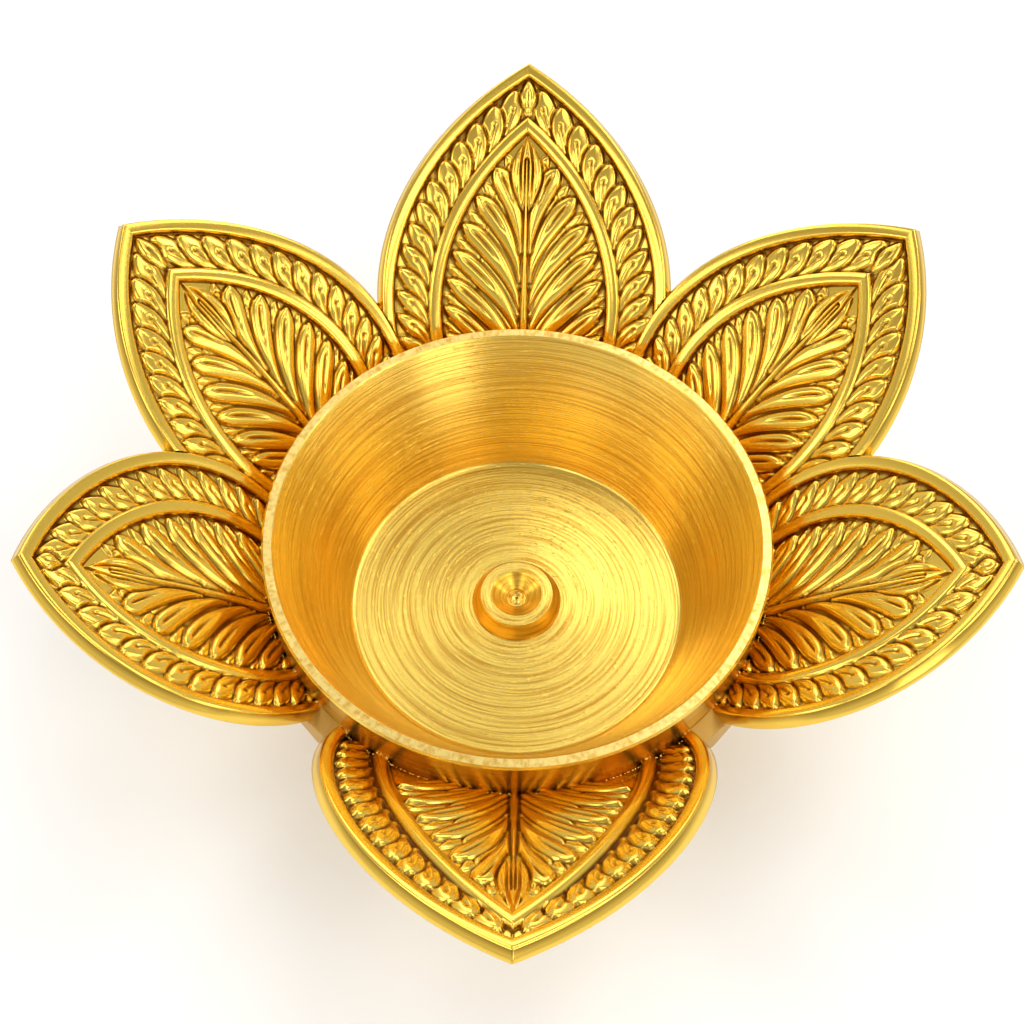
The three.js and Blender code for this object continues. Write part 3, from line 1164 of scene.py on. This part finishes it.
    def hand_marks(self, tree: NodeTree, spot: Node) -> dict[str, object]:
        """Soft unevenness of a casting, with brown patina and painted shade deepening the colour
        of its recesses.

        Args:
            tree: Node tree of the material.
            spot: Node with the place in millimetres from the lamp's axis.

        Returns:
            Inputs of the material's shader.
        """
        waves = add_node(
            tree, "TexNoise", {"Vector": spot, "Scale": 1 / self.mark_pitch, "Detail": 3.0}
        )
        # Brown patina with painted shade, read from the petals' recess mask.
        patina_and_shade = add_node(tree, "Attribute", attribute_name="patina_and_shade").outputs["Fac"]
        return self.surface(tree, patina_and_shade, (self.colour, self.deep_colour), waves)


def hand_in(piece: Object, slot: str, material: Material, *nodes: str) -> Object:
    """Gives a piece its finish, hangs it on the body, and hides any CAD nodes that it stands for.

    Args:
        piece: The piece, in place.
        slot: Name of a material slot; not used.
        material: Its finish.
        nodes: CAD nodes that it stands for.

    Returns:
        The piece.
    """
    piece.data.materials.clear()
    piece.data.materials.append(material)
    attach(piece, BODY)
    if nodes:
        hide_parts(*nodes)
    log.info("%s is dressed in %s", piece.name, material.name)
    return piece


def dress_node(node: str, material: Material) -> None:
    """Gives a CAD node that stays in view its finish.

    Args:
        node: Name of the node.
        material: Its finish.
    """
    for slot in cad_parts[node].material_slots:
        slot.material = material
    log.info("%s is dressed in %s", node, material.name)


# Sub-assemblies


@dataclass
class Flower:
    """The six petals, the ring that carries them, and the brazed joint with the cup."""

    back: PetalKind = PetalKind(
        length=38.7, half_width=18.6, widest_at=5.2, channel=4.6, band_margin=7.0
    )
    rear_side: PetalKind = PetalKind(
        length=36.6,
        half_width=17.3,
        widest_at=6.4,
        channel=4.2,
        band_margin=7.4,
        chain_pitch=3.1,
        spray_pitch=3.7,
    )
    front_side: PetalKind = PetalKind(
        length=33.0,
        half_width=17.5,
        widest_at=6.6,
        channel=4.2,
        band_margin=5.2,
        chain=Chain.HOOKED,
        chain_pitch=2.95,
        spray_pitch=3.7,
    )
    front: PetalKind = PetalKind(
        length=32.6,
        half_width=21.5,
        widest_at=-4.5,
        channel=3.8,
        band_margin=3.3,
        band_shift=7.0,
        chain=Chain.OVAL,
        chain_pitch=2.95,
        tip_leaf=False,
        spray_pitch=4.2,
        spray_rise=10.5,
        crest_length=10.5,
        crest_width=3.0,
    )
    back_angle: float = 88.8
    rear_side_angle: float = 33.75
    front_side_angle: float = -14.5
    front_side_lean: float = 1.3
    front_angle: float = -90.4
    notch_angle: float = -46.4
    web_angle: float = 9.4
    web_radii: Spot = (31.02, 33.3)
    web_drop: float = 6.03
    web_height: float = 2.6
    bead_pitch: float = 0.3
    bead_size: float = 0.13
    bead_sizes: Spot = (0.6, 1.3)
    bead_wander: float = 0.006
    bead_gap: float = 0.05
    bead_margin: float = 0.2
    bead_lift: float = 0.3
    bead_seed: int = 7
    widest_share: float = 0.95

    def petals(self) -> list[Petal]:
        """The petals, with those that lap over each of them.

        Returns:
            The petals, from the front to the back.
        """
        front = Petal("petal_front", self.front, self.front_angle)
        angle, lean = self.front_side_angle, self.front_side_lean
        low = [
            Petal("petal_front_right", self.front_side, angle, lean=lean),
            Petal("petal_front_left", self.front_side, 180 - angle, lean=-lean),
        ]
        high = [
            Petal("petal_back_right", self.rear_side, self.rear_side_angle, (low[0],)),
            Petal("petal_back_left", self.rear_side, 180 - self.rear_side_angle, (low[1],)),
        ]
        back = Petal("petal_back", self.back, self.back_angle, tuple(high))
        return [front, *low, *high, back]

    def build(self, finish: Material, rough: Material, bead: Material) -> None:
        """Builds and dresses the flower.

        Args:
            finish: Finish of the petals.
            rough: Finish of the ring.
            bead: Finish of the braze.
        """
        petals = self.petals()
        for petal in petals:
            hand_in(petal.build(), "cast_brass", finish, petal.node)
        dress_node("petal_ring", rough)
        hand_in(self.webs(), "cast_brass", rough)
        hand_in(self.beads(petals), "cast_brass", bead)

    def webs(self) -> Object:
        """The braze that fills the ring's joints in the notch at each side of the front petal.

        Returns:
            Both webs as one piece.
        """
        bm = bmesh.new()
        high = RIM_HEIGHT - self.web_drop
        low = high - self.web_height
        inner, outer = self.web_radii
        section = [(inner, low), (outer, low), (outer, high), (inner, high)]
        for middle in (self.notch_angle, 180 - self.notch_angle):
            turn = Matrix.Rotation(math.radians(middle - self.web_angle / 2), 3, "Z")
            spots = [turn @ Vector((radius, 0, 0)) for radius, _ in section]
            verts = [
                bm.verts.new((spot + Vector((0, AXIS_Y, height))) * MM)
                for spot, (_, height) in zip(spots, section)
            ]
            bmesh.ops.spin(
                bm,
                geom=[bm.faces.new(verts)],
                cent=(0, AXIS_Y * MM, 0),
                axis=(0, 0, 1),
                angle=math.radians(self.web_angle),
                steps=8,
            )
        bmesh.ops.recalc_face_normals(bm, faces=bm.faces)
        return new_object("braze_webs", bm, smooth=False)

    def beads(self, petals: Sequence[Petal]) -> Object:
        """The grains of braze along the joint between the petals and the cup.

        Args:
            petals: The petals.

        Returns:
            All grains as one piece.
        """
        random = np.random.default_rng(self.bead_seed)
        bm = bmesh.new()
        for petal in petals:
            flare = petal.flare
            radius = flare.cup_radius + self.bead_gap
            reach = math.asin(min(petal.kind.half_width / radius, self.widest_share))
            count = round(2 * reach * radius / self.bead_pitch)
            wander = random.uniform(-self.bead_wander, self.bead_wander, count)
            angles = np.linspace(-reach, reach, count) + wander
            along, across = flare.along(radius * np.cos(angles)), radius * np.sin(angles)
            moved_along, moved_across = petal.tuck(along, across)
            seen = np.hypot(moved_along - along, moved_across - across) < 1e-6
            seen &= petal.outline.depth(along, across) > self.bead_margin
            lowest = self.bead_lift - petal.relief_depth
            up = np.maximum(petal.face_height(along, across), lowest)
            for spot in petal.place(along, across, up)[seen]:
                bmesh.ops.create_icosphere(
                    bm,
                    subdivisions=1,
                    radius=self.bead_size * random.uniform(*self.bead_sizes) * MM,
                    matrix=Matrix.Translation(Vector(spot) * MM),
                )
        return new_object("braze_beads", bm)


@dataclass
class OilCup:
    """The turned cup."""

    radius: float = 31.0
    depth: float = 18.5
    floor_radius: float = 22.0
    floor_thickness: float = 2.6
    floor_fillet: float = 0.8
    skirt_height: float = 13.6
    base_radius: float = 21.5
    rim_width: float = 1.5
    chamfer: float = 0.25
    faced_depth: float = 0.01
    stud_hole: float = 2.3

    def build(self, finish: Material, faced: Material) -> None:
        """Builds and dresses the cup.

        Args:
            finish: Its finish.
            faced: Finish of the rim's flat top.
        """
        shell = hand_in(self.shell(), "turned_brass", finish, "oil_cup")
        shell.data.materials.append(faced)
        for face in shell.data.polygons:
            face.material_index = int(face.center.z > (RIM_HEIGHT - self.faced_depth) * MM)

    def shell(self) -> Object:
        """The cup, from the hole in its floor out over the rim and back.

        Returns:
            The cup.
        """
        top, radius, chamfer = RIM_HEIGHT, self.radius, self.chamfer
        floor = top - self.depth
        bottom = floor - self.floor_thickness
        inner = radius - self.rim_width
        knee = (self.base_radius, top - self.skirt_height)
        bowl = arc(knee, (radius - knee[0], knee[1] - bottom), -90, 0, 24)
        rim = steps_at(radius, top, ((0, -chamfer), (chamfer, 0)))
        rim += steps_at(inner, top, ((-chamfer, 0), (0, -chamfer)))
        slope = math.degrees(math.atan2(self.depth - chamfer, inner - self.floor_radius))
        fillet = self.floor_fillet
        corner = (self.floor_radius - fillet, floor + fillet)
        foot = arc(corner, (fillet, fillet), slope - 90, -90, 6)
        well = [(self.floor_radius / 2, floor), (self.stud_hole, floor)]
        section = [(self.stud_hole, bottom), *bowl, *rim, *foot, *well]
        return turned_piece("oil_cup_dressed", section, 360)


@dataclass
class WickHolder:
    """The turned boss in the cup's floor, with a countersunk wick hole and a rosette in it.

    Steps are distances in from a radius, and heights above the floor, the top or the hole's end.
    """

    base_radius: float = 5.8
    top_radius: float = 4.8
    height: float = 2.0
    mouth_radius: float = 3.2
    hole_radius: float = 1.2
    sink_depth: float = 1.3
    base_steps: tuple[Spot, ...] = ((0.0, 0.25), (0.2, 0.5))
    top_steps: tuple[Spot, ...] = ((-0.1, -0.22), (0.1, 0.0))
    mouth_steps: tuple[Spot, ...] = ((-0.08, 0.0), (0.05, -0.1))
    hole_steps: tuple[Spot, ...] = ((-0.1, 0.2), (0.0, 0.0))
    rosette_steps: tuple[Spot, ...] = ((0.15, 0.0), (0.3, 0.14), (0.45, 0.02), (0.65, 0.12))
    pin_hole: float = 0.2
    pin_steps: tuple[Spot, ...] = ((0.0, 0.06), (0.0, -0.6), (0.2, -0.6))
    stud_radius: float = 2.0
    stud_chamfer: float = 0.25
    seat: float = 0.02
    tilted_below: float = 0.97

    def build(self, finish: Material, shaded: Material, floor: float, stud_end: float) -> None:
        """Builds and dresses the holder.

        Args:
            finish: Its finish.
            shaded: Finish of its sloping sides, a deeper gold that paints shade on them.
            floor: Height of the cup's floor above the ground.
            stud_end: Height of the stud's end.
        """
        piece = turned_piece("wick_holder_dressed", self.section(floor, stud_end), 128)
        hand_in(piece, "turned_brass", finish, "wick_holder")
        piece.data.materials.append(shaded)
        # Painted shade: the sloping sides outside the hole take the deeper, shaded finish.
        for face in piece.data.polygons:
            out = math.hypot(face.center.x, face.center.y - AXIS_Y * MM) / MM
            tilted = abs(face.normal.z) < self.tilted_below and face.center.z / MM > floor
            face.material_index = int(tilted and out > self.hole_radius)

    def section(self, floor: float, stud_end: float) -> list[Spot]:
        """The half section, from the stud's end up the outside and down into the hole.

        Args:
            floor: Height of the cup's floor above the ground.
            stud_end: Height of the stud's end.

        Returns:
            Its radii and heights.
        """
        stud, chamfer = self.stud_radius, self.stud_chamfer
        seat, face = floor + self.seat, floor + self.height
        deepest = face - self.sink_depth
        section = [(0, stud_end), (stud - chamfer, stud_end), (stud, stud_end + chamfer)]
        section += [(stud, seat), (self.base_radius, seat)]
        for radius, height, steps in (
            (self.base_radius, floor, self.base_steps),
            (self.top_radius, face, self.top_steps),
            (self.mouth_radius, face, self.mouth_steps),
            (self.hole_radius, deepest, self.hole_steps + self.rosette_steps),
            (self.pin_hole, deepest, self.pin_steps),
        ):
            section += steps_at(radius, height, steps)
        return section


@dataclass
class Base:
    """The foot, with the washer and the nut in its recess.

    The hollow round its outside is given by its middle and half its height, as shares of the
    foot's height, between two plain bands.
    """

    top_radius: float = 20.0
    bottom_radius: float = 21.0
    waist: float = 0.8
    hollow_middle: float = 0.54
    hollow_half: float = 0.29
    bands: Spot = (0.2, 0.88)
    web: float = 1.8
    wall: float = 2.6
    chamfer: float = 0.15
    stud_hole: float = 2.3

    def build(self, finish: Material, plain: Material, height: float) -> None:
        """Builds and dresses the foot, and dresses the washer and the nut.

        Args:
            finish: Finish of the foot.
            plain: Finish of the fittings.
            height: Height of the foot.
        """
        top, bottom = self.top_radius, self.bottom_radius
        chamfer, ceiling = self.chamfer, height - self.web
        low, high = (height * band for band in self.bands)
        section = [(self.stud_hole, ceiling), (top - self.wall, ceiling)]
        section += steps_at(bottom - self.wall, 0, ((0, chamfer), (-chamfer, 0)))
        section += steps_at(bottom, 0, ((chamfer, 0), (0, chamfer), (0, low)))
        middle = (bottom + top) / 2
        hollow = (middle - (top - self.waist), height * self.hollow_half)
        section += arc((middle, height * self.hollow_middle), hollow, -90, -270, 8)
        section += [(top, high), (top, height), (self.stud_hole, height)]
        hand_in(turned_piece("foot_dressed", section), "turned_brass", finish, "foot")
        for node in ("washer", "nut"):
            dress_node(node, plain)


class SoftBox(NamedTuple):
    """A square soft box: its place round and above the lamp, its width and its brightness.

    The place is an azimuth from the right and an elevation, and the width is how wide it looks
    from the lamp, all in degrees.
    """

    name: str
    azimuth: float
    elevation: float
    spread: float
    radiance: float


@dataclass
class Studio:
    """A pale floor, soft boxes of light, and the camera."""

    floor_colour: str = "FCFCFC"
    floor_size: float = 2.0
    floor_roughness: float = 0.9
    floor_sheen: float = 0.1
    focal_length: float = 51.77
    sensor: float = 36.0
    nearest: float = 10.0
    distance: float = 180.0
    elevation: float = 58.42
    roll: float = 0.35
    target: Spot = (-0.665, 2.38)
    sky: float = 0.44
    horizon: float = 0.75
    horizon_span: Spot = (0.2, 0.6)
    light_distance: float = 430.0
    lights: tuple[SoftBox, ...] = (
        SoftBox("left", 182, 32, 17, 4.0),
        SoftBox("left_front", 210, 32, 17, 3.2),
        SoftBox("left_back", 144, 54, 17, 3.0),
        SoftBox("back", 112, 34, 18, 3.2),
        SoftBox("back_high", 72, 54, 17, 3.0),
        SoftBox("back_low", 90, 10, 20, 2.4),
        SoftBox("right_back", 38, 52, 18, 4.4),
        SoftBox("right", 0, 32, 17, 3.6),
        SoftBox("right_front", 330, 32, 17, 3.2),
        SoftBox("right_top", 0, 74, 17, 2.4),
        SoftBox("front_left", 234, 50, 17, 3.2),
        SoftBox("front_right", 308, 54, 17, 3.2),
        SoftBox("front_low", 300, 20, 22, 2.0),
    )

    def build(self) -> None:
        """Sets up floor, world, lights and camera."""
        self.floor()
        self.world()
        for light in self.lights:
            self.light(light)
        self.camera()
        settings = bpy.context.scene.view_settings
        settings.view_transform = "Standard"
        settings.look = "None"

    def floor(self) -> None:
        """A matte pale floor, whose paper takes the light without a sheen."""
        bm = bmesh.new()
        bmesh.ops.create_grid(bm, x_segments=1, y_segments=1, size=self.floor_size)
        floor = new_object("studio_floor", bm, smooth=False)
        material = bpy.data.materials.new("matte white paper")
        material.use_nodes = True
        shader = material.node_tree.nodes["Principled BSDF"]
        shader.inputs["Base Color"].default_value = linear(self.floor_colour)
        shader.inputs["Roughness"].default_value = self.floor_roughness
        shader.inputs["Specular IOR Level"].default_value = self.floor_sheen
        floor.data.materials.append(material)

    def world(self) -> None:
        """A white surround that is brightest near the horizon, as in a light tent."""
        world = bpy.data.worlds.new("studio")
        world.use_nodes = True
        tree = world.node_tree
        way = add_node(tree, "TexCoord").outputs["Generated"]
        parts = add_node(tree, "SeparateXYZ", {"Vector": way})
        low, high = self.horizon_span
        strength = add_node(
            tree,
            "MapRange",
            {
                "Value": parts.outputs["Z"],
                "From Min": low,
                "From Max": high,
                "To Min": self.horizon,
                "To Max": self.sky,
            },
            interpolation_type="SMOOTHSTEP",
        )
        background = tree.nodes["Background"]
        background.inputs["Color"].default_value = (1, 1, 1, 1)
        tree.links.new(strength.outputs["Result"], background.inputs["Strength"])
        bpy.context.scene.world = world

    def light(self, light: SoftBox) -> None:
        """Sets up a soft box that faces the lamp.

        Args:
            light: Its place, size and brightness.
        """
        turn, tilt = math.radians(light.azimuth), math.radians(light.elevation)
        flat = math.cos(tilt)
        way = Vector((math.cos(turn) * flat, math.sin(turn) * flat, math.sin(tilt)))
        data = bpy.data.lights.new(light.name, "AREA")
        data.shape = "SQUARE"
        data.size = 2 * self.light_distance * math.tan(math.radians(light.spread / 2)) * MM
        data.energy = light.radiance * math.pi * data.size**2
        box = bpy.data.objects.new(light.name, data)
        box.location = (way * self.light_distance + Vector((0, 0, RIM_HEIGHT))) * MM
        box.rotation_euler = (-way).to_track_quat("-Z", "Y").to_euler()
        bpy.context.scene.collection.objects.link(box)

    def camera(self) -> None:
        """The camera at the photograph's angle."""
        data = bpy.data.cameras.new("camera")
        data.lens = self.focal_length
        data.sensor_width = self.sensor
        data.clip_start = self.nearest * MM
        camera = bpy.data.objects.new("camera", data)
        tilt = math.radians(self.elevation)
        target = Vector((self.target[0], self.target[1] + AXIS_Y, RIM_HEIGHT))
        back = Vector((0, -math.cos(tilt), math.sin(tilt)))
        camera.location = (target + back * self.distance) * MM
        turn = Matrix.Rotation(math.radians(90 - self.elevation), 4, "X")
        turn = turn @ Matrix.Rotation(math.radians(self.roll), 4, "Z")
        camera.rotation_euler = turn.to_euler()
        bpy.context.scene.collection.objects.link(camera)
        bpy.context.scene.camera = camera


def main() -> None:
    """Builds the lamp and the studio."""
    # Bright highlights on the leaves' tops; brown patina and painted shade in the grooves that the
    # buff can't reach.
    cast = Brass("cast brass, patina and painted shade in its grooves", Tooling.CAST)
    # Rings of fine lines that draw each highlight out into a fan.
    turned = Brass(
        "turned brass",
        Tooling.TURNED,
        colour="F8D466",
        deep_colour="D09A34",
        roughness=0.27,
        anisotropy=0.6,
        mark_pitch=0.24,
        mark_depth=0.013,
        tear_depth=1.5,
    )
    # A pale, broken sheen, from short marks that lie across the rim.
    faced = Brass(
        "brass rim, faced with a chattering tool",
        Tooling.TURNED,
        colour="FBDD84",
        deep_colour="E2B04C",
        roughness=0.36,
        mark_pitch=0.7,
        mark_run=42.0,
        mark_depth=0.03,
        tear_width=0.3,
    )
    # Painted shade: a deeper gold on the boss's slopes, with softer lines.
    shaded = Brass(
        "turned brass, painted shade on slopes",
        Tooling.TURNED,
        colour="F5C048",
        deep_colour="C88F20",
        roughness=0.3,
        anisotropy=0.6,
        mark_pitch=0.3,
        mark_depth=0.008,
    )
    # A dull, dusty gold without sharp mirror images.
    rough = Brass(
        "brass, matte from the torch",
        Tooling.CAST,
        colour="CBA45A",
        deep_colour="9A6C20",
        roughness=0.5,
    )
    # Small glints along the joint.
    bead = Brass("braze metal", Tooling.CAST, colour="F9DC88", roughness=0.16)
    # An even satin on the fittings.
    plain = Brass("plain brass", Tooling.CAST, roughness=0.35)
    turned_brass = turned.make()
    cup = OilCup()
    floor = RIM_HEIGHT - cup.depth
    Flower().build(cast.make(), rough.make(), bead.make())
    cup.build(turned_brass, faced.make())
    WickHolder().build(turned_brass, shaded.make(), floor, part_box("wick_holder")[0].z / MM)
    Base().build(turned_brass, plain.make(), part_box("foot")[1].z / MM)
    Studio().build()


if __name__ == "__main__":
    main()
